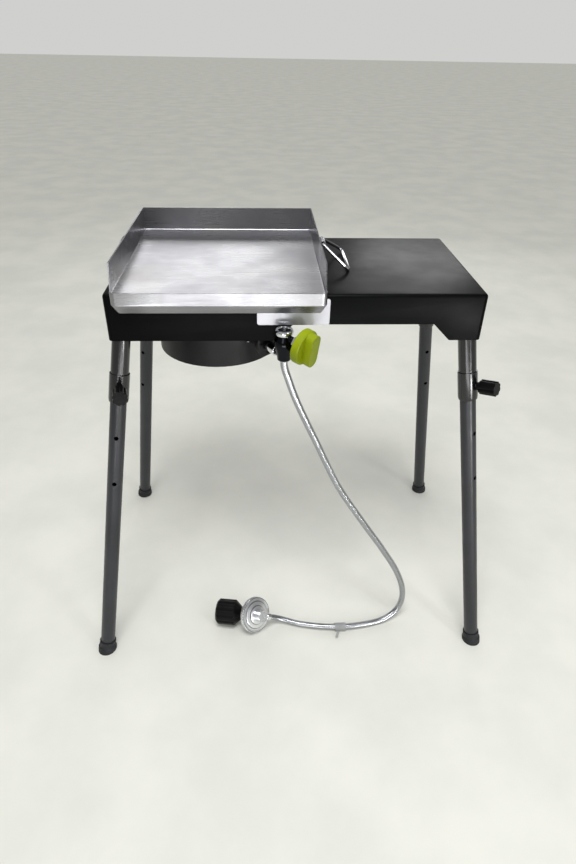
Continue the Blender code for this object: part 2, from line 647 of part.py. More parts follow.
# ---------------------------------------------------------------- legs
LEG_RUN_X = LEG_INSET + LEG_SPREAD_X
LEG_RUN_Y = LEG_INSET + LEG_SPREAD_Y
LEG_LENGTH = sqrt(LEG_RUN_X ** 2 + LEG_RUN_Y ** 2 + DEEP_EDGE ** 2)
KNOB_TURN = {"front_left": 12.0, "front_right": 44.0, "back_left": 215.0, "back_right": 145.0}
HOLE_TURN = {"front_left": 5.0, "front_right": 38.0, "back_left": -27.0, "back_right": 8.0}


def leg_frame(side, end):
    """A leg's place: Z runs down the leg from the deep skirt's edge."""
    top = Vector((side * (TABLE_WIDTH / 2 - LEG_INSET), end * (TABLE_DEPTH / 2 - LEG_INSET), DEEP_EDGE))
    foot = top + Vector((side * LEG_RUN_X, end * LEG_RUN_Y, -DEEP_EDGE))
    return top, (foot - top).normalized()


def across(turn, down):
    """The direction square to a leg that lies nearest to a heading in degrees."""
    out = heading(radians(turn))
    return (out - down * out.dot(down)).normalized()


def make_leg(name, side, end):
    """One leg: upper tube, clamp collar, knob on its stud, lower tube and foot cap."""
    top, down = leg_frame(side, end)
    place = along(top, down)
    collar_low = KNOB_AT + COLLAR_LENGTH / 2
    collar_high = KNOB_AT - COLLAR_LENGTH / 2
    knob_axis = along(top + down * KNOB_AT, across(KNOB_TURN[name], down))

    above = box_mesh((0.1, 0.1, 0.1), (top.x, top.y, TOP_UNDERSIDE - GAP + 0.05))
    upper = turned("upper_leg_" + name,
                   ring(UPPER_TUBE / 2, UPPER_TUBE / 2 - UPPER_WALL, -DEEP_SKIRT - 0.01, collar_low),
                   LEG_PAINT, place, steps=28)
    boolean(upper, above, Matrix.Identity(4))
    boolean(upper, rod_mesh(STUD_DIAMETER / 2 + GAP, 0.005, 0.03, 16), knob_axis)

    bore = UPPER_TUBE / 2 + GAP
    reach = COLLAR_DIAMETER / 2
    collar = turned("leg_collar_" + name,
                    [(reach - 0.0005, collar_high), (reach, collar_high + 0.0005),
                     (reach, collar_low - 0.005), (bore + 0.0008, collar_low), (bore, collar_low),
                     (bore, collar_high)],
                    LEG_PAINT, place, steps=28)
    boolean(collar, rod_mesh(STUD_DIAMETER / 2 + GAP, 0.005, 0.03, 16), knob_axis)

    tip = LOWER_TUBE / 2 + GAP
    stud = turned("knob_stud_" + name,
                  [(0.0, tip + STUD_LENGTH), (STUD_DIAMETER / 2, tip + STUD_LENGTH),
                   (STUD_DIAMETER / 2, tip + 0.001), (STUD_DIAMETER / 2 - 0.001, tip), (0.0, tip)],
                  ZINC, knob_axis, steps=14, closed=False)
    neck = reach + 0.0015
    body = neck + LEG_KNOB_NECK
    bore_end = tip + STUD_LENGTH + GAP
    knob_mesh = plate_mesh(fluted(LEG_KNOB_DIAMETER / 2, LEG_KNOB_FLUTES, 0.0022, 4), LEG_KNOB_LENGTH)
    knob = add("leg_knob_" + name, knob_mesh, BLACK_PLASTIC,
               knob_axis @ Matrix.Translation((0, 0, body + LEG_KNOB_LENGTH / 2)))
    boolean(knob, rod_mesh(0.0075, neck, body + 0.002, 16), knob_axis, "UNION")
    boolean(knob, rod_mesh(STUD_DIAMETER / 2 + GAP, neck - 0.01, bore_end, 14), knob_axis)
    pivot = joint_empty("knob_axis_" + name, knob_axis)
    hang_on(knob, pivot)
    hang_on(stud, pivot)

    first = KNOB_AT - TUBE_OVERLAP
    foot_end = LEG_LENGTH - FOOT_FLOOR
    lower = turned("lower_leg_" + name,
                   ring(LOWER_TUBE / 2, LOWER_TUBE / 2 - LOWER_WALL, first, foot_end - GAP),
                   LEG_PAINT, place, steps=28)
    for i in range(HOLE_COUNT):
        hole_axis = along(top + down * (KNOB_AT + i * HOLE_PITCH), across(HOLE_TURN[name], down))
        boolean(lower, rod_mesh(HOLE_DIAMETER / 2, -0.03, 0.03, 14), hole_axis)

    inner = LOWER_TUBE / 2 + GAP
    outer = inner + FOOT_WALL
    beyond = LEG_LENGTH + 0.012
    cap = turned("foot_cap_" + name,
                 [(0.0, foot_end), (inner, foot_end), (inner, LEG_LENGTH - FOOT_LENGTH),
                  (outer, LEG_LENGTH - FOOT_LENGTH), (outer, LEG_LENGTH - FOOT_FLOOR - 0.004),
                  (outer + FOOT_FLARE, LEG_LENGTH - FOOT_FLOOR), (outer + FOOT_FLARE, beyond),
                  (0.0, beyond)][::-1],
                 RUBBER, place, steps=28, closed=False)
    foot = top + down * LEG_LENGTH
    boolean(cap, box_mesh((0.1, 0.1, 0.1), (foot.x, foot.y, -0.05)), Matrix.Identity(4))
    slider = joint_empty("leg_slide_" + name, place)
    hang_on(lower, slider)
    hang_on(cap, slider)


# ---------------------------------------------------------------- griddle
PAN_PLACE = Matrix.Translation((PAN_INSET + (PAN_WIDTH - TABLE_WIDTH) / 2, PAN_SHIFT_Y, PAN_UNDERSIDE))


def make_pan():
    """The griddle pan: floor and three walls folded from one sheet, and a front apron."""
    half_x, half_y = PAN_WIDTH / 2, PAN_DEPTH / 2
    builder = bmesh.new()
    size = Matrix.Diagonal((PAN_WIDTH, PAN_DEPTH - PAN_LAP, PAN_WALL + PAN_SHEET, 1.0))
    lift = Matrix.Translation((0, PAN_LAP / 2, (PAN_WALL + PAN_SHEET) / 2))
    bmesh.ops.create_cube(builder, size=1.0, matrix=lift @ size)
    open_faces = [face for face in builder.faces if face.normal.z > 0.9 or face.normal.y < -0.9]
    bmesh.ops.delete(builder, geom=open_faces, context="FACES")
    for vert in builder.verts:
        if vert.co.z > PAN_WALL / 2 and vert.co.y < 0:
            vert.co.y += PAN_CUT_BACK
    folds = [edge for edge in builder.edges if len(edge.link_faces) == 2
             and all(vert.co.z < 1e-6 for vert in edge.verts)]
    bmesh.ops.bevel(builder, geom=folds, offset=PAN_BEND, segments=3, profile=0.5,
                    affect="EDGES", material=-1)
    pan = add("griddle_pan", mesh_from(builder), STAINLESS, PAN_PLACE)
    sheet = pan.modifiers.new("sheet", "SOLIDIFY")
    sheet.thickness = PAN_SHEET
    sheet.offset = -1.0
    sheet.use_even_offset = True
    boolean(pan, apron_mesh(half_x + PAN_LAP, half_y), PAN_PLACE, "UNION")
    return pan


def apron_mesh(half_x, half_y):
    """The front apron: an upright band round the front corners and a tapered lower part."""
    path = [(half_x, -half_y + PAN_END_RETURN)]
    for step in range(5):
        angle = step * pi / 8
        path.append((half_x - PAN_CORNER + PAN_CORNER * cos(angle),
                     -half_y + PAN_CORNER - PAN_CORNER * sin(angle)))
    path += [(-x, y) for x, y in reversed(path)]
    top = PAN_SHEET - PAN_LAP
    low = top - PAN_APRON - PAN_RETURN
    apron = bmesh.new()
    rows = []
    for height, taper in ((top, 0.0), (top - PAN_APRON, 0.0), (low, PAN_TAPER)):
        row = []
        for x, y in path:
            lean = taper * (path[0][1] - y) / PAN_END_RETURN
            row.append(apron.verts.new((x * (1 - taper / half_x), y + lean, height)))
        rows.append(row)
    for upper, lower in zip(rows, rows[1:]):
        for i in range(len(path) - 1):
            apron.faces.new((upper[i], lower[i], lower[i + 1], upper[i + 1]))
    return thickened(apron, PAN_SHEET)


def bail_points():
    """The route of a bail rod in the plane of its loop, from barrel end to barrel end."""
    half, grip = BARREL_LENGTH / 2, GRIP_LENGTH / 2
    side = [(0.0, half - BARREL_GRIP), (0.0, half + 0.7 * ROD), (0.4 * ROD, half + ROD),
            (BAIL_REACH - 1.6 * ROD, grip - 0.6 * ROD), (BAIL_REACH - 0.5 * ROD, grip - 0.5 * ROD),
            (BAIL_REACH, grip - 1.7 * ROD)]
    return side + [(x, -y) for x, y in reversed(side)]


def make_handle(name, side):
    """A bracket with a barrel on the pan's wall, and the bail that swings in it."""
    wall = side * PAN_WIDTH / 2
    height = PAN_SHEET + PAN_WALL - BARREL_DROP
    axis = Vector((wall + side * BARREL_OFFSET, HANDLE_Y, height))
    face = wall + side * (PAN_LAP + GAP)
    plate = box_mesh((BRACKET_SHEET, BARREL_LENGTH, BRACKET_HEIGHT),
                     (face + side * BRACKET_SHEET / 2, HANDLE_Y, height))
    bracket = add("handle_bracket_" + name, plate, STAINLESS, PAN_PLACE)
    barrel = PAN_PLACE @ Matrix.Translation(axis) @ Matrix.Rotation(pi / 2, 4, "X")
    half = BARREL_LENGTH / 2
    boolean(bracket, rod_mesh(BARREL_DIAMETER / 2, -half, half, 20), barrel, "UNION")
    web = box_mesh((abs(axis.x - face) - BRACKET_SHEET / 2, 0.96 * BARREL_LENGTH, 0.4 * BARREL_DIAMETER),
                   ((axis.x + face + side * BRACKET_SHEET / 2) / 2, HANDLE_Y, height))
    boolean(bracket, web, PAN_PLACE, "UNION")
    boolean(bracket, rod_mesh(ROD / 2 + GAP, -half - 0.01, half + 0.01, 20), barrel)

    pivot = PAN_PLACE @ axis
    drop = drop_to_table(pivot) if side > 0 else drop_to_edge(pivot)
    outward = Matrix.Rotation(0.0 if side > 0 else pi, 4, "Z")
    loop = [(x, y, 0.0) for x, y in bail_points()]
    bail = add("bail_handle_" + name, wire_mesh(loop, ROD), STAINLESS,
               Matrix.Translation(pivot) @ outward @ Matrix.Rotation(drop, 4, "Y"))
    return bracket, bail


def drop_to_table(pivot):
    """A bail's angle below level when its grip lies on the side table."""
    fall = pivot.z - (TABLE_HEIGHT + GAP + ROD / 2)
    return atan2(fall, sqrt(BAIL_REACH ** 2 - fall ** 2))


def drop_to_edge(pivot):
    """A bail's angle below level when it hangs against the table's left-hand edge."""
    run = pivot.x + TABLE_WIDTH / 2 - EDGE_RADIUS
    fall = pivot.z - TABLE_HEIGHT + EDGE_RADIUS
    reach = sqrt(run ** 2 + fall ** 2)
    clear = ROD / 2 + GAP + EDGE_RADIUS
    return atan2(fall, run) - atan2(clear, sqrt(reach ** 2 - clear ** 2))


# ---------------------------------------------------------------- hose and regulator
TIE_LIFT = HOSE_DIAMETER / 2 + TIE_SLACK + TIE_THICKNESS + GAP    # hose axis over its tie
FACE = Matrix.Rotation(REGULATOR_TURN, 3, "Z") @ Matrix.Rotation(pi / 2 - REGULATOR_TILT, 3, "X")
OUTLET = FACE @ Vector((cos(ELBOW_TURN), sin(ELBOW_TURN), 0.0))
INLET = Vector((-0.981, 0.184, -0.058)).normalized()


def make_regulator():
    """The regulator on the floor: body, cover, outlet elbow, inlet nipple and hand nut."""
    place = Matrix.Translation(REGULATOR_CENTRE) @ FACE.to_4x4()
    half = REGULATOR_DIAMETER / 2
    body = turned("regulator_body",
                  [(0.0, 0.0), (half, 0.0), (half, -0.004), (half - 0.004, -0.006),
                   (half * 0.62, -REGULATOR_BODY), (0.0, -REGULATOR_BODY)],
                  ZINC, place, steps=36, closed=False)
    inlet = along(REGULATOR_CENTRE - FACE.col[2] * (REGULATOR_BODY / 2), INLET)
    boolean(body, rod_mesh(NECK_DIAMETER / 2, 0.004, INLET_REACH, 20), inlet, "UNION")

    top = GAP + REGULATOR_COVER
    turned("regulator_cover",
           [(0.0, top), (half * 0.50, top), (half * 0.54, top - 0.0030), (half * 0.74, top - 0.0034),
            (half * 0.78, top - 0.0058), (half * 0.92, top - 0.0060), (half * 0.94, top - 0.0070),
            (half, top - 0.0072), (half, GAP), (0.0, GAP)],
           ZINC, place, steps=36, closed=False)
    seat = top + GAP
    cap = REGULATOR_CAP / 2
    elbow = turned("outlet_elbow",
                   [(0.0, seat + ELBOW_LENGTH), (cap - 0.001, seat + ELBOW_LENGTH),
                    (cap, seat + ELBOW_LENGTH - 0.001), (cap, seat), (0.0, seat)],
                   ZINC, place, steps=24, closed=False)
    centre = REGULATOR_CENTRE + FACE.col[2] * (seat + ELBOW_LENGTH / 2)
    boolean(elbow, rod_mesh(0.0075, 0.0, ELBOW_REACH, 20), along(centre, OUTLET), "UNION")
    ferrule_end = ELBOW_REACH + GAP + FERRULE_LENGTH
    ferrule = FERRULE_DIAMETER / 2
    turned("hose_ferrule",
           [(0.0, ferrule_end), (ferrule - 0.001, ferrule_end), (ferrule, ferrule_end - 0.001),
            (ferrule, ELBOW_REACH + GAP + 0.001), (ferrule - 0.001, ELBOW_REACH + GAP),
            (0.0, ELBOW_REACH + GAP)],
           ZINC, along(centre, OUTLET), steps=20, closed=False)

    shoulder = INLET_REACH + GAP
    back = shoulder + HAND_NUT_BACK
    mouth = back + HAND_NUT_LENGTH
    recess = mouth - HAND_NUT_RECESS
    nose = NIPPLE_DIAMETER / 2
    turned("inlet_nipple",
           [(0.002, mouth - 0.004), (nose - 0.003, mouth - 0.004), (nose, mouth - 0.012),
            (nose, shoulder), (0.002, shoulder)],
           BRASS, inlet, steps=18)
    radius = HAND_NUT_DIAMETER / 2
    bore = nose + GAP
    nut = turned("hand_nut",
                 [(radius - HAND_NUT_CHAMFER, mouth), (radius, mouth - HAND_NUT_CHAMFER),
                  (radius, back + HAND_NUT_CONE), (0.5 * radius, back), (bore, back),
                  (bore, recess), (0.65 * radius, recess), (0.65 * radius, mouth)],
                 BLACK_PLASTIC, inlet, steps=36)
    flutes = plate_mesh(fluted(radius, HAND_NUT_FLUTES, 0.0022, 4), 2 * mouth)
    boolean(nut, flutes, inlet @ Matrix.Translation((0, 0, mouth)), "INTERSECT")
    return centre + OUTLET * (ferrule_end + GAP)


# The free hose's route, from the point below the valve. Where the hose hangs, the last number is
# a share of its start's height.
HOSE_HANG = [
    (0.0087, -0.0023, 0.9428), (0.0252, -0.0055, 0.8738), (0.0617, -0.0055, 0.7464),
    (0.1097, -0.0055, 0.5840), (0.1653, -0.0055, 0.4422), (0.2157, -0.0055, 0.3201),
    (0.2565, -0.0055, 0.2063), (0.2749, -0.0060, 0.1092), (0.2667, -0.0105, 0.0394),
]
HOSE_FLOOR = [
    (0.2347, -0.0245, 0.0085), (0.1855, -0.0371, 0.0080), (0.1380, -0.0427, TIE_LIFT),
    (0.0877, -0.0400, TIE_LIFT), (0.0395, -0.0305, 0.0080), (0.0057, -0.0205, 0.0105),
]


def smooth_route(points, leave, arrive, spacing):
    """Points read every so often from a smooth curve through the route's points."""
    tangents = [leave]
    for before, after in zip(points, points[2:]):
        tangents.append((after - before).normalized())
    tangents.append(arrive)
    fine = [points[0]]
    for i in range(len(points) - 1):
        a, b = points[i], points[i + 1]
        span = (b - a).length
        for step in range(1, 25):
            t = step / 24
            fine.append((2 * t ** 3 - 3 * t ** 2 + 1) * a + (t ** 3 - 2 * t ** 2 + t) * span * tangents[i]
                        + (-2 * t ** 3 + 3 * t ** 2) * b + (t ** 3 - t ** 2) * span * tangents[i + 1])
    total = sum((b - a).length for a, b in zip(fine, fine[1:]))
    count = int(total / spacing)
    route, walked, target = [fine[0]], 0.0, total / count
    for a, b in zip(fine, fine[1:]):
        step = (b - a).length
        while walked + step >= target - 1e-9 and len(route) < count:
            route.append(a.lerp(b, (target - walked) / step))
            target += total / count
        walked += step
    return route + [fine[-1]]


def make_hose(start, end):
    """The braided hose, from the valve's swivel nut to the regulator's ferrule."""
    points = [start - Z * 0.003]
    points += [VALVE_AT + Vector((x, y, share * start.z)) for x, y, share in HOSE_HANG]
    points += [VALVE_AT + Vector(point) for point in HOSE_FLOOR]
    points += [end + OUTLET * 0.010]
    route = [start] + smooth_route(points, -Z, -OUTLET, 2.0 * HOSE_DIAMETER) + [end]
    add("gas_hose", wire_mesh(route, HOSE_DIAMETER, 2), BRAID)
    return route


def make_tie(route):
    """The tie round the hose on the floor, with its free tail."""
    i = min(range(1, len(route) - 1), key=lambda k: (route[k] - (VALVE_AT + TIE_OFFSET)).length)
    run = (route[i + 1] - route[i - 1]).normalized()
    inner = HOSE_DIAMETER / 2 + TIE_SLACK
    tie = turned("hose_tie", ring(inner + TIE_THICKNESS, inner, -TIE_WIDTH / 2, TIE_WIDTH / 2),
                 GREY_PLASTIC, along(route[i], run), steps=16)
    side = Vector((-run.y, run.x, 0.0))
    side = side if side.y < 0 else -side
    tail = box_mesh((TIE_TAIL, 0.005, TIE_THICKNESS), (TIE_TAIL / 2 + inner, 0, 0))
    aim = Matrix.Translation(route[i] - Z * 0.35 * inner) @ Matrix.Rotation(atan2(side.y, side.x), 4, "Z")
    boolean(tie, tail, aim @ Matrix.Rotation(TIE_LEAN, 4, "Z"), "UNION")


# ---------------------------------------------------------------- assembly
make_table()
make_badge()
make_wind_guard()
make_grate()
make_burner()
make_shutter_and_fitting()
hose_start = make_valve()
for leg_name, leg_side, leg_end in (("front_left", -1, -1), ("front_right", 1, -1),
                                    ("back_left", -1, 1), ("back_right", 1, 1)):
    make_leg(leg_name, leg_side, leg_end)
griddle = make_pan()
for handle_name, handle_side in (("left", -1), ("right", 1)):
    for part in make_handle(handle_name, handle_side):
        hang_on(part, griddle)
make_tie(make_hose(hose_start, make_regulator()))
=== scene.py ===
import math

import bmesh
import bpy
from mathutils import Matrix, Vector


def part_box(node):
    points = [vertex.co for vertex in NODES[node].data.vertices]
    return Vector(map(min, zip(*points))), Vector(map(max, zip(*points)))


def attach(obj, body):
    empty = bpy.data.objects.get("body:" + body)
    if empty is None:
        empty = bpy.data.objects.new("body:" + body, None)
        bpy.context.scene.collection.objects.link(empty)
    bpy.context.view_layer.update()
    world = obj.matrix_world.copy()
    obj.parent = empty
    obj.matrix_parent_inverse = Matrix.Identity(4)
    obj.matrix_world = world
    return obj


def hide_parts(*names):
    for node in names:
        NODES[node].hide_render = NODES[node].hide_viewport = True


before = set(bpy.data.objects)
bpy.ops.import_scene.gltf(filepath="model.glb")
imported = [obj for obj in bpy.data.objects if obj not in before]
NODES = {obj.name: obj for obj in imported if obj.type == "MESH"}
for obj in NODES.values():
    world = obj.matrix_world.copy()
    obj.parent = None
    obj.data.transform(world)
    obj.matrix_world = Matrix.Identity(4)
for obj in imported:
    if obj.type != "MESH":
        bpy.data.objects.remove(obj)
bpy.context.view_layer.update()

Z = Vector((0, 0, 1))

# ---- Camera
# It stands in front of the griddle and a little left of the middle, at chest height. It looks
# down on the stand and leans by about a degree.
CAMERA_PLACE = (-0.0620, -1.0896, 1.1257)
CAMERA_YAW = math.radians(3.074)
CAMERA_PITCH = math.radians(34.10)
CAMERA_ROLL = math.radians(1.152)
CAMERA_LENS = 24.862
CAMERA_SENSOR = 36
CAMERA_NEAR = 0.01


def aimed(yaw, pitch, roll):
    """The turn of a camera that looks along +Y at yaw 0, pitched down and rolled."""
    level = Matrix.Rotation(-yaw, 4, "Z") @ Matrix.Rotation(math.radians(90) - pitch, 4, "X")
    return level @ Matrix.Rotation(roll, 4, "Z")


camera = bpy.data.objects.new("camera", bpy.data.cameras.new("camera"))
bpy.context.scene.collection.objects.link(camera)
camera.matrix_world = Matrix.Translation(CAMERA_PLACE) @ aimed(CAMERA_YAW, CAMERA_PITCH, CAMERA_ROLL)
camera.data.sensor_width = CAMERA_SENSOR
camera.data.lens = CAMERA_LENS
camera.data.clip_start = CAMERA_NEAR
bpy.context.scene.camera = camera

# ---- Floor and light
# A pale mottled floor runs out of sight. A broad softbox in front and above throws the stand's
# soft shadow behind it, and two behind show in the steel and on the table's top. One at each side
# lines the legs. The two low ones in front show only as reflections, in the steel and the paint.
FLOOR_REACH = 30.0
FLOOR_CLOUDS = 4.0                 # to a metre
FLOOR_PALE = "e2e2db"
FLOOR_DULL = "d8d9d2"
SOFTBOXES = (
    # name, place, what it faces, width, height, watts, and whether it only shows as a reflection
    ("light_above", (-0.1, -0.9, 2.6), (0.0, 0.1, 0.3), 0.9, 0.8, 34, False),
    ("light_behind", (-0.42, 2.6, 1.90), (-0.1, 0.0, 0.75), 0.75, 0.75, 5.2, False),
    ("light_behind_right", (1.0, 2.6, 1.40), (0.2, 0.0, 0.75), 0.8, 0.45, 5.0, False),
    ("light_right", (1.5, -1.7, 1.5), (0.1, 0.0, 0.5), 0.35, 2.0, 9, False),
    ("light_left", (-0.9, -2.6, 1.4), (-0.1, 0.0, 0.75), 0.9, 0.5, 4, False),
    ("light_low", (-0.15, -2.0, 0.10), (-0.1, 0.0, 0.75), 1.4, 0.35, 11, True),
    ("light_low_right", (1.25, -2.0, 0.10), (0.3, 0.0, 0.75), 0.5, 0.35, 20, True),
)
ROOM_COLOUR = (0.63, 0.63, 0.62, 1)
ROOM_RISE = (("From Min", -0.1), ("From Max", 0.8), ("To Min", 0.18), ("To Max", 0.45))
COAT_GLOSS = 0.12


def tone(code):
    """A colour's linear values, from its six-figure screen code."""
    parts = [int(code[i:i + 2], 16) / 255 for i in (0, 2, 4)]
    linear = [c / 12.92 if c <= 0.04045 else ((c + 0.055) / 1.055) ** 2.4 for c in parts]
    return (*linear, 1.0)


class Finish:
    """One material while it is being built, on the object's own metres."""

    def __init__(self, name, colour, roughness, metallic=0.0, coat=0.0, shine=0.5):
        self.material = bpy.data.materials.new(name)
        self.material.use_nodes = True
        self.tree = self.material.node_tree
        self.surface = self.tree.nodes["Principled BSDF"]
        self.surface.inputs["Base Color"].default_value = tone(colour)
        self.surface.inputs["Roughness"].default_value = roughness
        self.surface.inputs["Metallic"].default_value = metallic
        self.surface.inputs["Coat Weight"].default_value = coat
        self.surface.inputs["Coat Roughness"].default_value = COAT_GLOSS
        self.surface.inputs["Specular IOR Level"].default_value = shine
        self.place = self.node("ShaderNodeTexCoord").outputs["Object"]

    def node(self, kind, **settings):
        made = self.tree.nodes.new(kind)
        for name, value in settings.items():
            setattr(made, name, value)
        return made

    def feed(self, socket, value):
        """Links a value that another node gives, or sets a plain one."""
        if isinstance(value, bpy.types.NodeSocket):
            self.tree.links.new(value, socket)
        else:
            socket.default_value = value

    def maths(self, operation, a, b=0.0, c=0.0):
        made = self.node("ShaderNodeMath", operation=operation)
        for socket, value in zip(made.inputs, (a, b, c)):
            self.feed(socket, value)
        return made.outputs[0]

    def vector(self, operation, first, second=None):
        made = self.node("ShaderNodeVectorMath", operation=operation)
        self.feed(made.inputs[0], first)
        if second is not None:
            made.inputs[1].default_value = second
        return made

    def noise(self, cells, detail=3.0, rough=0.55):
        """Noise with so many cells to a metre, given once or for X, Y and Z."""
        scale = cells if hasattr(cells, "__len__") else (cells,) * 3
        made = self.node("ShaderNodeTexNoise")
        self.feed(made.inputs["Vector"], self.vector("MULTIPLY", self.place, scale).outputs[0])
        made.inputs["Scale"].default_value = 1.0
        made.inputs["Detail"].default_value = detail
        made.inputs["Roughness"].default_value = rough
        return made.outputs["Fac"]

    def spread(self, value, start, end, low, high):
        """The value's stretch from start to end, spread over low to high."""
        made = self.node("ShaderNodeMapRange", interpolation_type="SMOOTHSTEP")
        for socket, number in zip(made.inputs, (value, start, end, low, high)):
            self.feed(socket, number)
        return made.outputs[0]

    def blended(self, factor, first, second):
        """A mix of two colours, each a screen code or what another node gives."""
        made = self.node("ShaderNodeMix", data_type="RGBA")
        self.feed(made.inputs[0], factor)
        self.feed(made.inputs[6], tone(first) if isinstance(first, str) else first)
        self.feed(made.inputs[7], tone(second) if isinstance(second, str) else second)
        return made.outputs[2]

    def coloured(self, value):
        self.feed(self.surface.inputs["Base Color"], value)

    def roughened(self, value):
        self.feed(self.surface.inputs["Roughness"], value)

    def bumped(self, height, depth, strength):
        """Raises the surface by the height, 0 to 1, times the depth in metres."""
        made = self.node("ShaderNodeBump")
        made.inputs["Strength"].default_value = strength
        made.inputs["Distance"].default_value = depth
        self.feed(made.inputs["Height"], height)
        before = self.surface.inputs["Normal"].links
        if before:
            self.feed(made.inputs["Normal"], before[0].from_socket)
        self.feed(self.surface.inputs["Normal"], made.outputs["Normal"])


def mesh_object(name, shape, material):
    """A new object of the shape, a bmesh, which is used up."""
    mesh = bpy.data.meshes.new(name)
    shape.to_mesh(mesh)
    shape.free()
    mesh.materials.append(material)
    made = bpy.data.objects.new(name, mesh)
    bpy.context.scene.collection.objects.link(made)
    return made


def floor_finish():
    """Bare pale floor, mottled with soft clouds, and without any gloss."""
    made = Finish("pale_floor", FLOOR_PALE, 0.9, shine=0.0)
    cloud = made.noise(FLOOR_CLOUDS, 5.0)
    made.coloured(made.blended(made.spread(cloud, 0.3, 0.7, 0.0, 1.0), FLOOR_DULL, FLOOR_PALE))
    return made.material


def softbox(name, place, target, width, height, power, mirrored_only):
    light = bpy.data.lights.new(name, "AREA")
    light.shape = "RECTANGLE"
    light.size = width
    light.size_y = height
    light.energy = power
    made = bpy.data.objects.new(name, light)
    made.location = place
    made.rotation_euler = (Vector(target) - Vector(place)).to_track_quat("-Z", "Y").to_euler()
    made.visible_camera = False
    made.visible_diffuse = not mirrored_only
    bpy.context.scene.collection.objects.link(made)


floor_shape = bmesh.new()
bmesh.ops.create_grid(floor_shape, x_segments=1, y_segments=1, size=FLOOR_REACH)
mesh_object("floor", floor_shape, floor_finish())
for box in SOFTBOXES:
    softbox(*box)

# The room itself is plain, and darker towards the ground where metal mirrors it.
room = bpy.data.worlds.new("studio")
bpy.context.scene.world = room
room.use_nodes = True
walls = room.node_tree.nodes["Background"]
walls.inputs["Strength"].default_value = 1.0
around = room.node_tree.nodes.new("ShaderNodeTexCoord")
upward = room.node_tree.nodes.new("ShaderNodeSeparateXYZ")
rise = room.node_tree.nodes.new("ShaderNodeMapRange")
for socket, value in ROOM_RISE:
    rise.inputs[socket].default_value = value
seen = room.node_tree.nodes.new("ShaderNodeLightPath")
shown = room.node_tree.nodes.new("ShaderNodeMix")
shown.data_type = "RGBA"
shown.inputs[6].default_value = ROOM_COLOUR
for source, end in ((around.outputs["Generated"], upward.inputs[0]),
                    (upward.outputs["Z"], rise.inputs[0]),
                    (rise.outputs[0], shown.inputs[7]),
                    (seen.outputs["Is Glossy Ray"], shown.inputs[0]),
                    (shown.outputs[2], walls.inputs["Color"])):
    room.node_tree.links.new(source, end)
bpy.context.scene.view_settings.view_transform = "Standard"

# ---- Table
# One sheet of steel folded down into skirts, deepest round the legs, and powder coated satin
# black, with a bare silvery plate on the front skirt. Folds and cut edges are broken by less than
# a millimetre, so that they catch the light.
JOIN_DISTANCE = 0.00001
CORNER_ANGLE = math.radians(28)
PEEL_CELLS = 420.0                 # the sprayed coat's orange peel, to a metre
PEEL_DEPTH = 0.00022
SPECK_CELLS = 900.0
SPECK_DEPTH = 0.00006
GRAIN_DEPTH = 0.00005
SCRATCH_DEPTH = 0.00006


def powder_coat(name, dark, light, rough, coat=0.0, shine=0.5, peel=0.35):
    """Sprayed and baked coat: an orange-peel skin, an uneven gloss and a little dust."""
    made = Finish(name, dark, rough[0], coat=coat, shine=shine)
    cloud = made.noise(9.0, 4.0)
    speck = made.noise(SPECK_CELLS, 2.0)
    made.coloured(made.blended(made.spread(cloud, 0.3, 0.75, 0.0, 1.0), dark, light))
    made.roughened(made.spread(made.noise(24.0, 5.0), 0.3, 0.7, *rough))
    made.bumped(made.noise(PEEL_CELLS, 2.0), PEEL_DEPTH, peel)
    made.bumped(speck, SPECK_DEPTH, peel)
    return made.material


def brushed(name, base, shade, grain, rough, tint=None):
    """Rolled sheet with fine lines along the grain, cloudy patches and stray scratches."""
    made = Finish(name, base, rough[0], metallic=1.0)
    cloud = made.noise(11.0, 4.0)
    lines = made.noise(grain, 3.0)
    patch = made.blended(made.spread(cloud, 0.3, 0.7, 0.0, 1.0), base, shade)
    if tint:
        patch = made.blended(made.spread(made.noise(7.0, 2.0), 0.52, 0.85, 0.0, 0.5), patch, tint)
    made.coloured(patch)
    smear = made.maths("MULTIPLY_ADD", lines, 0.45, made.maths("MULTIPLY", cloud, 0.45))
    made.roughened(made.spread(smear, 0.3, 0.7, *rough))
    made.bumped(lines, GRAIN_DEPTH, 0.30)
    scratches = made.noise([cells * 0.4 for cells in grain], 2.0, 0.4)
    made.bumped(made.spread(scratches, 0.66, 0.72, 1.0, 0.0), SCRATCH_DEPTH, 0.25)
    return made.material


def smoothing_group():
    """Geometry nodes that join a mesh's split corners and shade it smooth between its edges."""
    group = bpy.data.node_groups.new("smooth_between_edges", "GeometryNodeTree")
    group.interface.new_socket("Mesh", in_out="INPUT", socket_type="NodeSocketGeometry")
    group.interface.new_socket("Mesh", in_out="OUTPUT", socket_type="NodeSocketGeometry")
    start = group.nodes.new("NodeGroupInput")
    joined = group.nodes.new("GeometryNodeMergeByDistance")
    joined.inputs["Distance"].default_value = JOIN_DISTANCE
    freed = group.nodes.new("GeometryNodeRemoveAttribute")
    freed.inputs["Name"].default_value = "custom_normal"
    smooth = group.nodes.new("GeometryNodeSetShadeSmooth")
    sharp = group.nodes.new("GeometryNodeSetShadeSmooth")
    sharp.domain = "EDGE"
    sharp.inputs["Shade Smooth"].default_value = False
    angle = group.nodes.new("GeometryNodeInputMeshEdgeAngle")
    steep = group.nodes.new("FunctionNodeCompare")
    steep.inputs[1].default_value = CORNER_ANGLE
    chain = [start, joined, freed, smooth, sharp, group.nodes.new("NodeGroupOutput")]
    for first, second in zip(chain, chain[1:]):
        group.links.new(first.outputs[0], second.inputs[0])
    group.links.new(angle.outputs[0], steep.inputs[0])
    group.links.new(steep.outputs[0], sharp.inputs["Selection"])
    return group


SMOOTHING = smoothing_group()


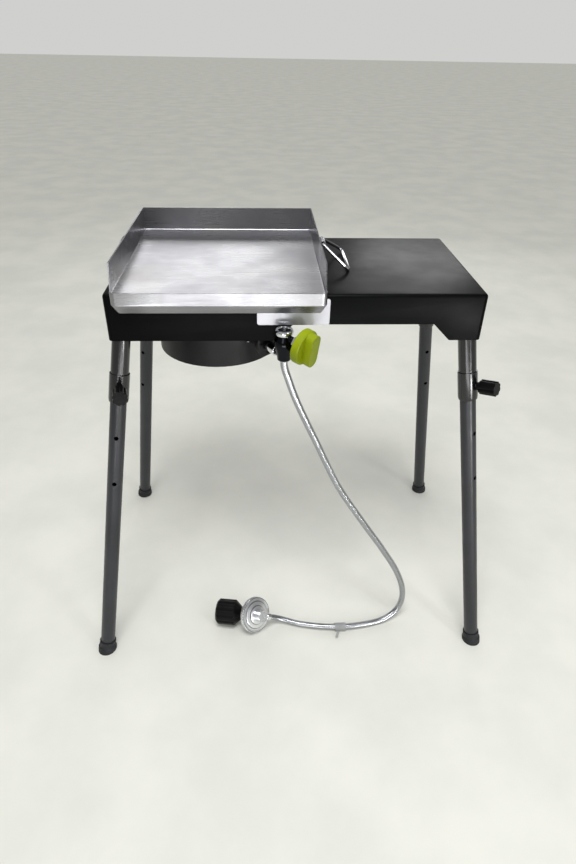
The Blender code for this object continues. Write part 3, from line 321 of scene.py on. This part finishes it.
def rounded(piece, width, segments=2):
    """Breaks a piece's corners by the width, which is 0 to shade it only."""
    smooth = piece.modifiers.new("smooth", "NODES")
    smooth.node_group = SMOOTHING
    if width:
        bevel = piece.modifiers.new("edges", "BEVEL")
        bevel.width = width
        bevel.segments = segments
        bevel.limit_method = "ANGLE"
        bevel.angle_limit = CORNER_ANGLE
        bevel.harden_normals = True
        bevel.use_clamp_overlap = True


def finished(material, width, *names, segments=2):
    """Gives CAD nodes their finish, and breaks their corners by the width."""
    for name in names:
        for place in NODES[name].material_slots:
            place.material = material
        rounded(NODES[name], width, segments)


TABLE_COAT = powder_coat("black_powder_coat", "040405", "08090a", (0.31, 0.36), shine=0.05, peel=0.08)
BADGE = brushed("badge_silver", "c2c2c8", "b4b4ba", (40.0, 500.0, 900.0), (0.42, 0.52))
finished(TABLE_COAT, 0.0005, "table_frame")
finished(BADGE, 0.0004, "badge_plate")

# ---- Burner
# The round steel wind guard hangs under the table's hole. Inside it, a strap and one bolt carry
# the iron casting of the burner, and a loose iron grate lies over the hole. The shutter and the
# plated fitting reach out through the guard to the valve.
PEBBLE_DEPTH = 0.00025
SMUDGE_DEPTH = 0.00004


def cast_metal(name, base, shade, rough, grit, metallic=1.0):
    """Cast metal: a fine pebbled skin with darker hollows."""
    made = Finish(name, base, rough, metallic=metallic)
    skin = made.noise(grit, 4.0)
    made.coloured(made.blended(made.spread(skin, 0.35, 0.65, 0.0, 1.0), shade, base))
    made.roughened(made.spread(made.noise(60.0), 0.3, 0.7, rough * 0.8, rough * 1.25))
    made.bumped(skin, PEBBLE_DEPTH, 0.35)
    return made.material


def plated(name, base, rough, smudge):
    """Bright plating with faint smudges."""
    made = Finish(name, base, rough, metallic=1.0)
    made.roughened(made.spread(made.noise(70.0), 0.35, 0.75, rough, smudge))
    made.bumped(made.noise(240.0, 2.0), SMUDGE_DEPTH, 0.2)
    return made.material


GUARD_COAT = powder_coat("guard_powder_coat", "0c0d0f", "131417", (0.36, 0.48), shine=0.25)
IRON = cast_metal("cast_iron", "2c2b2a", "191817", 0.62, 380.0, metallic=0.6)
SHUTTER_BLACK = cast_metal("shutter_black", "232427", "151517", 0.34, 300.0, metallic=0.5)
ZINC = cast_metal("zinc_alloy", "e8e9ec", "c8cacf", 0.28, 500.0)
CHROME = plated("chrome_plate", "e4e6e8", 0.05, 0.14)
finished(GUARD_COAT, 0.0004, "wind_guard")
finished(TABLE_COAT, 0.0004, "burner_strap")
finished(IRON, 0.0008, "cook_grate")
finished(IRON, 0.0010, "burner_casting")
finished(ZINC, 0.0004, "burner_bolt")
finished(SHUTTER_BLACK, 0.0004, "air_shutter")
finished(CHROME, 0.0004, "orifice_fitting")

# ---- Valve
# A plated brass body with a chrome gland and stem, and a moulded lime knob with a grip bar. Body
# and plug are coloured near black: a painted reflection of the dark skirts round the valve. On
# top, a rolled chrome ring is screwed down over the body's shoulder, round a dished plug.
VALVE_PLACE = Vector((-0.02268, -0.18451, 0.0))
CAP_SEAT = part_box("valve_cap")[0][2]
SKIN_DEPTH = 0.00008
CAP_RING = [
    # radius and height above the seat, from the plug's well over the roll and down outside
    (0.0, 0.0), (0.0, 0.0010), (0.0106, 0.0010), (0.0106, 0.0048), (0.0112, 0.0060),
    (0.0124, 0.0066), (0.0138, 0.0061), (0.0150, 0.0047), (0.0155, 0.0028), (0.0154, 0.0004),
    (0.0147, -0.0020), (0.0134, -0.0036), (0.0122, -0.0036), (0.0122, 0.0)]
CAP_PLUG = [
    (0.0, 0.0012), (0.0, 0.0022), (0.0050, 0.0022), (0.0058, 0.0032), (0.0094, 0.0034),
    (0.0102, 0.0028), (0.0102, 0.0012)]


def moulded(name, base, shade, rough, grit=700.0, shine=0.3):
    """Moulded plastic or rubber: a slightly uneven colour and a fine matt skin."""
    made = Finish(name, base, rough, shine=shine)
    made.coloured(made.blended(made.spread(made.noise(35.0), 0.3, 0.7, 0.0, 1.0), base, shade))
    made.roughened(made.spread(made.noise(90.0), 0.3, 0.7, rough * 0.85, rough * 1.2))
    made.bumped(made.noise(grit, 2.0), SKIN_DEPTH, 0.4)
    return made.material


def spun(name, profile, place, steps, material):
    """A solid of revolution about the place's Z, from its outline of radius and height."""
    shape = bmesh.new()
    line = [shape.verts.new((radius, 0, height)) for radius, height in profile]
    edges = [shape.edges.new(pair) for pair in zip(line, line[1:])]
    bmesh.ops.spin(shape, geom=line + edges, cent=(0, 0, 0), axis=(0, 0, 1), angle=2 * math.pi,
                   steps=steps, use_merge=True)
    bmesh.ops.remove_doubles(shape, verts=shape.verts, dist=0.000001)
    bmesh.ops.recalc_face_normals(shape, faces=shape.faces)
    shape.transform(place)
    return mesh_object(name, shape, material)


# Near-black plated metal: a painted reflection of the dark skirts, used for the valve body and the cap's
# plug.
VALVE_DARK_REFLECTION = plated("valve_painted_dark_reflection", "232427", 0.10, 0.22)
LIME = moulded("lime_plastic", "8a9703", "808e04", 0.42, shine=0.2)
finished(VALVE_DARK_REFLECTION, 0.0008, "valve_body", segments=3)
finished(CHROME, 0.0004, "gland_nut", segments=3)
finished(CHROME, 0.0003, "valve_stem", segments=3)
finished(LIME, 0.0016, "valve_knob", segments=3)

cap_place = Matrix.Translation(VALVE_PLACE + Z * CAP_SEAT)
cap_ring = spun("valve_cap_ring", CAP_RING, cap_place, 48, CHROME)
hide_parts("valve_cap")
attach(cap_ring, "stand")
rounded(cap_ring, 0.0)
cap_plug = spun("valve_cap_plug", CAP_PLUG, cap_place, 40, VALVE_DARK_REFLECTION)
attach(cap_plug, "stand")
rounded(cap_plug, 0.0)

# ---- Legs
# Steel tubes in pairs: the upper ones are painted glossy black and welded in the table's corners,
# and the satin grey lower ones slide in them. Each pair has its collar, its clamp knob on a
# screw, and a rubber cap on the floor.
UPPER_COAT = powder_coat("upper_leg_paint", "0e0f11", "151619", (0.18, 0.26), coat=0.4, shine=0.4, peel=0.2)
LOWER_COAT = powder_coat("lower_leg_paint", "24252a", "2d2e34", (0.30, 0.40), shine=0.45, peel=0.25)
BLACK_PLASTIC = moulded("black_plastic", "050506", "0b0b0c", 0.36, shine=0.12)
RUBBER = moulded("dark_rubber", "1f2023", "292a2d", 0.60, 420.0)
for corner in ("front_left", "front_right", "back_left", "back_right"):
    finished(UPPER_COAT, 0.0, "upper_leg_" + corner)
    finished(UPPER_COAT, 0.0008, "leg_collar_" + corner)
    finished(LOWER_COAT, 0.0, "lower_leg_" + corner)
    finished(BLACK_PLASTIC, 0.0009, "leg_knob_" + corner)
    finished(ZINC, 0.0, "knob_stud_" + corner)
    finished(RUBBER, 0.0008, "foot_cap_" + corner)

# ---- Griddle
# A steel pan folded from one sheet, with its grain from side to side. Two bails of bright wire
# hang from folded brackets on its sides.
STEEL = brushed("stainless_steel", "9c9c9f", "8e8e92", (14.0, 500.0, 500.0), (0.26, 0.36), "a09a92")
BRIGHT_STEEL = brushed("bright_steel", "c8c8ca", "b0b0b4", (300.0, 300.0, 300.0), (0.12, 0.22))
finished(STEEL, 0.0007, "griddle_pan")
finished(STEEL, 0.0003, "handle_bracket_left", "handle_bracket_right")
finished(BRIGHT_STEEL, 0.0, "bail_handle_left", "bail_handle_right")

# ---- Hose
# A braided steel hose, 13 mm across, leaves the valve straight down, sweeps to the right in one
# loose curve, lies along the floor and ends in the regulator. All of it shows, so its length is
# the curve's own. The braid is two sets of flat bands of wire that pass over and under each other.
HOSE_DIAMETER = 0.013
HOSE_START = VALVE_PLACE + Z * 0.6592
TIE_LIFT = 0.0091
HOSE_ROUTE = [
    (-0.0140, -0.1868, 0.6215),
    (0.0025, -0.1900, 0.5760), (0.0390, -0.1900, 0.4920), (0.0870, -0.1900, 0.3850),
    (0.1426, -0.1900, 0.2915), (0.1930, -0.1900, 0.2110), (0.2338, -0.1900, 0.1360),
    (0.2522, -0.1905, 0.0720), (0.2440, -0.1950, 0.0260), (0.2120, -0.2090, 0.0085),
    (0.1628, -0.2216, 0.0080), (0.1153, -0.2272, TIE_LIFT), (0.0650, -0.2245, TIE_LIFT),
    (0.0168, -0.2150, 0.0080), (-0.0170, -0.2050, 0.0105),
]
REGULATOR_CENTRE = Vector((-0.0797, -0.2104, 0.0364))
REGULATOR_FACE = Vector((0.64997, -0.58523, 0.48481)).normalized()
OUTLET = Vector((0.7383, 0.3352, -0.5852)).normalized()
ELBOW_AT = 0.0186                  # along the regulator's axis, to the outlet's
OUTLET_REACH = 0.0271
HOSE_END = REGULATOR_CENTRE + REGULATOR_FACE * ELBOW_AT + OUTLET * OUTLET_REACH
START_STRAIGHT = 0.003
END_STRAIGHT = 0.010
STEPS_BETWEEN = 24
HOSE_STEP = 0.0007
BRAID_BANDS = 10                   # each way round the hose
BRAID_RELIEF = 0.0003
HOSE_SIDES = 6 * BRAID_BANDS
WIRES = 5                          # in a band
WIRE_DEPTH = 0.00006
WIRE_BRIGHT = "b6b8bc"
# painted shade for the dips between the bands, not a second colour of wire
WIRE_PAINTED_SHADE = "3e4043"


def smooth_route(points, leave, arrive, steps):
    """Points on one smooth curve through the route's points."""
    tangents = [leave]
    tangents += [(after - before).normalized() for before, after in zip(points, points[2:])]
    tangents += [arrive]
    route = [points[0]]
    for i in range(len(points) - 1):
        a, b = points[i], points[i + 1]
        span = (b - a).length
        for step in range(1, steps + 1):
            t = step / steps
            route.append((2 * t ** 3 - 3 * t ** 2 + 1) * a + (t ** 3 - 2 * t ** 2 + t) * span * tangents[i]
                         + (-2 * t ** 3 + 3 * t ** 2) * b + (t ** 3 - t ** 2) * span * tangents[i + 1])
    return route


def evenly(route, spacing):
    """The route read again at even steps."""
    total = sum((b - a).length for a, b in zip(route, route[1:]))
    count = max(1, round(total / spacing))
    read, walked = [route[0]], 0.0
    for a, b in zip(route, route[1:]):
        step = (b - a).length
        while len(read) < count and walked + step >= len(read) * total / count:
            read.append(a.lerp(b, (len(read) * total / count - walked) / step))
        walked += step
    return read + [route[-1]]


def braid_height(round_at, along_at):
    """How high the braid stands, 0 to 1, at a share of the way round and a length along it."""
    across = [BRAID_BANDS * (round_at + way * along_at / (math.pi * HOSE_DIAMETER)) for way in (1, -1)]
    over = (math.floor(across[0]) + math.floor(across[1])) % 2
    return abs(math.sin(math.pi * across[over])) ** 0.5


def braided_tube(name, route, radius, sides, material):
    """A closed tube along a route. Its UV map runs once round it, and in metres along it."""
    shape = bmesh.new()
    layer = shape.loops.layers.uv.new("UVMap")
    out = (route[1] - route[0]).normalized().orthogonal().normalized()
    rings, walked = [], [0.0]
    for i, point in enumerate(route):
        ahead = (route[min(i + 1, len(route) - 1)] - route[max(i - 1, 0)]).normalized()
        out = (out - ahead * out.dot(ahead)).normalized()
        side = ahead.cross(out)
        if i:
            walked.append(walked[-1] + (point - route[i - 1]).length)
        ring = []
        for k in range(sides):
            turn = 2 * math.pi * k / sides
            reach = radius - BRAID_RELIEF * (1 - braid_height(k / sides, walked[i]))
            ring.append(shape.verts.new(point + reach * (math.cos(turn) * out + math.sin(turn) * side)))
        rings.append(ring)
    for i in range(len(rings) - 1):
        for k in range(sides):
            n = (k + 1) % sides
            face = shape.faces.new((rings[i][k], rings[i][n], rings[i + 1][n], rings[i + 1][k]))
            face.smooth = True
            corners = ((k, i), (k + 1, i), (k + 1, i + 1), (k, i + 1))
            for loop, (round_at, along_at) in zip(face.loops, corners):
                loop[layer].uv = (round_at / sides, walked[along_at])
    shape.faces.new(list(reversed(rings[0])))
    shape.faces.new(rings[-1])
    return mesh_object(name, shape, material)


def braid_finish():
    """Bands of bright wire that cross at a right angle, with painted shade where one dips under the next.
    """
    made = Finish("braided_hose", WIRE_BRIGHT, 0.20, metallic=1.0)
    parts = made.node("ShaderNodeSeparateXYZ")
    made.feed(parts.inputs[0], made.node("ShaderNodeTexCoord").outputs["UV"])
    around_it = made.maths("MULTIPLY", parts.outputs["X"], float(BRAID_BANDS))
    along_it = made.maths("MULTIPLY", parts.outputs["Y"], BRAID_BANDS / (math.pi * HOSE_DIAMETER))
    first = made.maths("ADD", around_it, along_it)
    second = made.maths("SUBTRACT", around_it, along_it)
    cells = made.maths("ADD", made.maths("FLOOR", first), made.maths("FLOOR", second))
    over = made.maths("ABSOLUTE", made.maths("MODULO", cells, 2.0))
    heights = []
    for ridges in (1, WIRES):
        pair = [made.maths("ABSOLUTE", made.maths("SINE", made.maths("MULTIPLY", across, math.pi * ridges)))
                for across in (first, second)]
        picked = made.node("ShaderNodeMix", data_type="FLOAT")
        for socket, value in zip((picked.inputs[0], picked.inputs[2], picked.inputs[3]), (over, *pair)):
            made.feed(socket, value)
        heights.append(picked.outputs[0])
    band, wire = heights
    # The wire is all one colour; the dark mixed in where a band dips under the next is painted shade.
    made.coloured(made.blended(made.spread(band, 0.05, 0.6, 0.0, 1.0), WIRE_PAINTED_SHADE, WIRE_BRIGHT))
    made.bumped(wire, WIRE_DEPTH, 0.5)
    return made.material


HOSE_POINTS = [HOSE_START - Z * START_STRAIGHT] + [Vector(point) for point in HOSE_ROUTE]
HOSE_POINTS += [HOSE_END + OUTLET * END_STRAIGHT]
hose_line = [HOSE_START] + smooth_route(HOSE_POINTS, -Z, -OUTLET, STEPS_BETWEEN) + [HOSE_END]
hose_line = evenly(hose_line, HOSE_STEP)
hose = braided_tube("braided_gas_hose", hose_line, HOSE_DIAMETER / 2, HOSE_SIDES, braid_finish())
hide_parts("gas_hose")
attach(hose, "stand")
GREY_PLASTIC = moulded("grey_plastic", "8d8f90", "a2a4a4", 0.42)
finished(CHROME, 0.0005, "hose_ferrule", "hose_swivel_nut")
finished(GREY_PLASTIC, 0.0, "hose_tie")

# ---- Regulator
# The cast zinc body stands on its rim with the stepped cover facing up and forwards. The cover's
# rim is crimped in teeth all round, and its low boss carries the outlet to the hose. Behind it a
# brass nipple goes through the black hand nut that screws on the gas bottle.
RADIUS = 0.039
RIM_TEETH = 44
TOOTH_SHARE = 0.014                # half a tooth's depth, as a share of its place's radius
TOOTH_FROM = 0.95                  # share of the radius past which the rim has teeth
COVER_LOW = 0.0003
COVER_HIGH = 0.0093
COVER_STEPS = [
    # share of the radius, and depth below the top
    (0.0, 0.0), (0.46, 0.0), (0.50, 0.0006), (0.53, 0.0028), (0.60, 0.0034), (0.70, 0.0034),
    (0.745, 0.0040), (0.77, 0.0056), (0.82, 0.0060), (0.88, 0.0060), (0.91, 0.0052),
    (0.975, 0.0054), (1.0, 0.0066)]
# Rings of painted shade along the cover's steps and beside its toothed rim.
PAINTED_SHADE_RINGS = ((0.525, 0.0016), (0.765, 0.0018), (0.955, 0.0014))   # share of the radius, width
COVER_BRIGHT = "ecedef"
COVER_DUST_AND_SHADE = "55565a"


def cover_finish():
    """Zinc that is duller and darker under faint random dust, and in rings along the cover's steps and
    beside its teeth, where the darkening is painted shade.
    """
    made = Finish("regulator_cover_zinc", COVER_BRIGHT, 0.30, metallic=1.0)
    out = made.vector("SUBTRACT", made.place, REGULATOR_CENTRE).outputs[0]
    across = made.vector("CROSS_PRODUCT", out, REGULATOR_FACE).outputs[0]
    distance = made.vector("LENGTH", across).outputs["Value"]
    dust_and_shade = made.maths("MULTIPLY", made.noise(220.0), 0.2)
    # Each ring darkens one step of the cover: painted shade, not dust.
    for ring, width in PAINTED_SHADE_RINGS:
        gap = made.maths("ABSOLUTE", made.maths("SUBTRACT", distance, ring * RADIUS))
        dust_and_shade = made.maths("MAXIMUM", dust_and_shade, made.spread(gap, 0.0, width, 1.0, 0.0))
    made.coloured(made.blended(dust_and_shade, COVER_BRIGHT, COVER_DUST_AND_SHADE))
    made.roughened(made.spread(dust_and_shade, 0.0, 1.0, 0.28, 0.45))
    made.bumped(made.noise(500.0, 4.0), PEBBLE_DEPTH, 0.3)
    return made.material


facing = REGULATOR_FACE.to_track_quat("Z", "Y").to_matrix().to_4x4()
face_place = Matrix.Translation(REGULATOR_CENTRE) @ facing
outline = [(RADIUS * share, COVER_HIGH - depth) for share, depth in COVER_STEPS]
outline += [(RADIUS, COVER_LOW), (0.0, COVER_LOW)]
cover = spun("regulator_cover_detail", outline, face_place, 4 * RIM_TEETH, cover_finish())
flat = face_place.inverted()
for vertex in cover.data.vertices:
    at = flat @ vertex.co
    if math.hypot(at.x, at.y) > RADIUS * TOOTH_FROM:
        turn = math.atan2(at.y, at.x) * RIM_TEETH
        squeeze = 1 - TOOTH_SHARE * (1 - math.cos(turn))
        vertex.co = face_place @ Vector((at.x * squeeze, at.y * squeeze, at.z))
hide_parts("regulator_cover")
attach(cover, "stand")
rounded(cover, 0.0)

BRASS = plated("brass", "c9a35a", 0.18, 0.32)
finished(ZINC, 0.0006, "regulator_body")
finished(ZINC, 0.0008, "outlet_elbow")
finished(BRASS, 0.0004, "inlet_nipple")
finished(BLACK_PLASTIC, 0.0007, "hand_nut")
